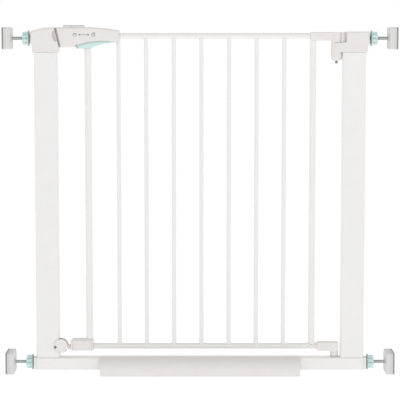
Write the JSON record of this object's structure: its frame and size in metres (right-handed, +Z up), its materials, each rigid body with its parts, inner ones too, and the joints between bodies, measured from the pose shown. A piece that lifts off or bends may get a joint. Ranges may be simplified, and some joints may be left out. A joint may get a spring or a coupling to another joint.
{
  "type": "safety gate",
  "caption": "Pressure-mounted child safety gate: white steel frame with a self-closing swing door, squeeze-handle latch, screw spindles with wall cups and a threshold ramp.",
  "frame": {"origin": "centre of the footprint at floor level, midway between the wall pads", "axes": "+X along the gate from the latch post to the hinge post, +Y from the ramp side through the gate, +Z up"},
  "size_m": [0.856, 0.081, 0.7651],
  "materials": {
    "powder_coat": "satin white powder coat on steel tube",
    "frame_plastic": "fine-grained warm white moulding",
    "teal_plastic": "satin pale teal moulding",
    "cup_plastic": "fine-grained light grey moulding",
    "pad_rubber": "matt grey rubber",
    "zinc_steel": "zinc-plated steel",
    "button_grey": "satin grey-green moulding"
  },
  "bodies": {
    "frame": {"left_post": "powder_coat", "right_post": "powder_coat", "threshold_bar": "powder_coat", "latch_post_cap": "frame_plastic", "strike_plate": "zinc_steel", "hinge_post_cap": "frame_plastic", "hinge_pin": "zinc_steel", "closing_spring": "zinc_steel", "threshold_plug_left": "frame_plastic", "threshold_plug_right": "frame_plastic", "step_ramp": "frame_plastic", "bottom_catch": "frame_plastic", "bottom_catch_screw": "zinc_steel", "floor_pivot_bush": "frame_plastic"},
    "door": {"latch_stile": "powder_coat", "hinge_stile": "powder_coat", "top_rail": "powder_coat", "bottom_rail": "powder_coat", "bar_1": "powder_coat", "bar_2": "powder_coat", "bar_3": "powder_coat", "bar_4": "powder_coat", "bar_5": "powder_coat", "bar_6": "powder_coat", "bar_7": "powder_coat", "top_hinge_arm": "frame_plastic", "bottom_hinge_elbow": "frame_plastic", "bottom_hinge_pin": "zinc_steel", "bottom_latch_housing": "frame_plastic", "handle_front_shell": "frame_plastic", "handle_rear_shell": "frame_plastic", "handle_screw_1": "zinc_steel", "handle_screw_2": "zinc_steel", "lever_pin": "zinc_steel", "lever_spring": "zinc_steel", "bolt_spring": "zinc_steel", "button_spring": "zinc_steel", "bottom_bolt_spring": "zinc_steel"},
    "squeeze_lever": {"squeeze_lever": "teal_plastic"},
    "lock_button": {"lock_button": "button_grey"},
    "latch_bolt": {"latch_bolt": "frame_plastic"},
    "bottom_bolt": {"bottom_bolt": "frame_plastic"},
    "pull_rod": {"pull_rod": "zinc_steel"},
    "nut_top_left": {"adjusting_nut_top_left": "teal_plastic"},
    "spindle_top_left": {"spindle_top_left": "zinc_steel", "wall_cup_top_left": "cup_plastic", "wall_pad_top_left": "pad_rubber"},
    "nut_top_right": {"adjusting_nut_top_right": "teal_plastic"},
    "spindle_top_right": {"spindle_top_right": "zinc_steel", "wall_cup_top_right": "cup_plastic", "wall_pad_top_right": "pad_rubber"},
    "nut_bottom_left": {"adjusting_nut_bottom_left": "teal_plastic"},
    "spindle_bottom_left": {"spindle_bottom_left": "zinc_steel", "wall_cup_bottom_left": "cup_plastic", "wall_pad_bottom_left": "pad_rubber"},
    "nut_bottom_right": {"adjusting_nut_bottom_right": "teal_plastic"},
    "spindle_bottom_right": {"spindle_bottom_right": "zinc_steel", "wall_cup_bottom_right": "cup_plastic", "wall_pad_bottom_right": "pad_rubber"}
  },
  "joints": [
    {"name": "door_swing", "type": "hinge", "parent": "frame", "child": "door", "pos_m": [0.297, 0.0105, 0.3865], "axis": [0, 0, 1], "range_deg": [-90, 90], "stiffness_Nm_per_rad": 1, "deforming": ["closing_spring"]},
    {"name": "lever_squeeze", "type": "hinge", "parent": "door", "child": "squeeze_lever", "pos_m": [-0.188, 0.0105, 0.7318], "axis": [0, 1, 0], "range_deg": [0, 6], "stiffness_Nm_per_rad": 12, "springref_deg": -5.73, "deforming": ["lever_spring"]},
    {"name": "latch_bolt_slide", "type": "slide", "parent": "door", "child": "latch_bolt", "axis": [1, 0, 0], "range_m": [0, 0.009], "deforming": ["bolt_spring"]},
    {"name": "bottom_bolt_slide", "type": "slide", "parent": "door", "child": "bottom_bolt", "axis": [1, 0, 0], "range_m": [0, 0.008], "deforming": ["bottom_bolt_spring"]},
    {"name": "pull_rod_lift", "type": "slide", "parent": "door", "child": "pull_rod", "axis": [0, 0, 1], "range_m": [0, 0.006]},
    {"name": "lock_button_slide", "type": "slide", "parent": "door", "child": "lock_button", "axis": [1, 0, 0], "range_m": [0, 0.008], "stiffness_N_per_m": 200, "springref_m": -0.002, "deforming": ["button_spring"]},
    {"name": "nut_top_left_spin", "type": "hinge", "parent": "frame", "child": "nut_top_left", "pos_m": [-0.3784, 0.0105, 0.7369], "axis": [-1, 0, 0], "range_deg": [-5767, 4327]},
    {"name": "spindle_top_left_slide", "type": "slide", "parent": "frame", "child": "spindle_top_left", "axis": [-1, 0, 0], "range_m": [-0.02, 0.015]},
    {"name": "nut_top_right_spin", "type": "hinge", "parent": "frame", "child": "nut_top_right", "pos_m": [0.3784, 0.0105, 0.7369], "axis": [1, 0, 0], "range_deg": [-5767, 4327]},
    {"name": "spindle_top_right_slide", "type": "slide", "parent": "frame", "child": "spindle_top_right", "axis": [1, 0, 0], "range_m": [-0.02, 0.015]},
    {"name": "nut_bottom_left_spin", "type": "hinge", "parent": "frame", "child": "nut_bottom_left", "pos_m": [-0.3764, 0.0105, 0.0237], "axis": [-1, 0, 0], "range_deg": [-5767, 4327]},
    {"name": "spindle_bottom_left_slide", "type": "slide", "parent": "frame", "child": "spindle_bottom_left", "axis": [-1, 0, 0], "range_m": [-0.02, 0.015]},
    {"name": "nut_bottom_right_spin", "type": "hinge", "parent": "frame", "child": "nut_bottom_right", "pos_m": [0.3764, 0.0105, 0.0237], "axis": [1, 0, 0], "range_deg": [-5767, 4327]},
    {"name": "spindle_bottom_right_slide", "type": "slide", "parent": "frame", "child": "spindle_bottom_right", "axis": [1, 0, 0], "range_m": [-0.02, 0.015]}
  ],
  "couplings": [
    {"joint": "latch_bolt_slide", "follows": "lever_squeeze", "m_per_rad": 0.085944},
    {"joint": "bottom_bolt_slide", "follows": "lever_squeeze", "m_per_rad": 0.076394},
    {"joint": "pull_rod_lift", "follows": "lever_squeeze", "m_per_rad": 0.057296},
    {"joint": "nut_top_left_spin", "follows": "spindle_top_left_slide", "rad_per_m": 5026.5},
    {"joint": "nut_top_right_spin", "follows": "spindle_top_right_slide", "rad_per_m": 5026.5},
    {"joint": "nut_bottom_left_spin", "follows": "spindle_bottom_left_slide", "rad_per_m": 5026.5},
    {"joint": "nut_bottom_right_spin", "follows": "spindle_bottom_right_slide", "rad_per_m": 5026.5}
  ]
}
